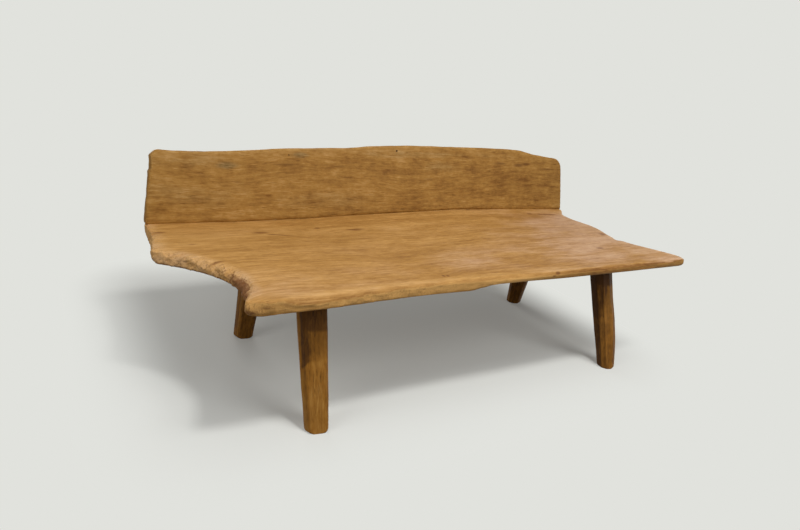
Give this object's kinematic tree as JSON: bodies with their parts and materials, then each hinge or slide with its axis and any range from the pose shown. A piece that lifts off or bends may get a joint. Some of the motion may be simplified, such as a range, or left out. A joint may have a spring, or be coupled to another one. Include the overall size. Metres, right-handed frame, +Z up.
{
  "type": "slab bench with a low back",
  "caption": "Rustic wooden bench: a wide live-edge seat slab on splayed hewn legs, with a low reclined slab back, for sitting.",
  "frame": {"origin": "on the floor under the middle of the whole bench", "axes": "+X to the right along the seat as seen by someone facing the bench, +Y towards the back, +Z up"},
  "size_m": [1.945, 0.8772, 0.693],
  "materials": {
    "seat_wood": "worn, waxed honey-brown hardwood",
    "back_wood": "worn, waxed brown hardwood, mottled",
    "leg_wood": "hewn dark-brown hardwood",
    "peg_wood": "split hardwood, unfinished"
  },
  "bodies": {
    "root": {"seat_slab": "seat_wood", "back_slab": "back_wood", "front_left_leg": "leg_wood", "front_right_leg": "leg_wood", "rear_left_leg": "leg_wood", "rear_right_leg": "leg_wood", "front_left_wedge": "peg_wood", "front_right_wedge": "peg_wood", "rear_left_wedge": "peg_wood", "rear_right_wedge": "peg_wood", "back_peg_1": "peg_wood", "back_peg_2": "peg_wood", "back_peg_3": "peg_wood", "back_peg_4": "peg_wood", "back_peg_5": "peg_wood"}
  },
  "joints": []
}
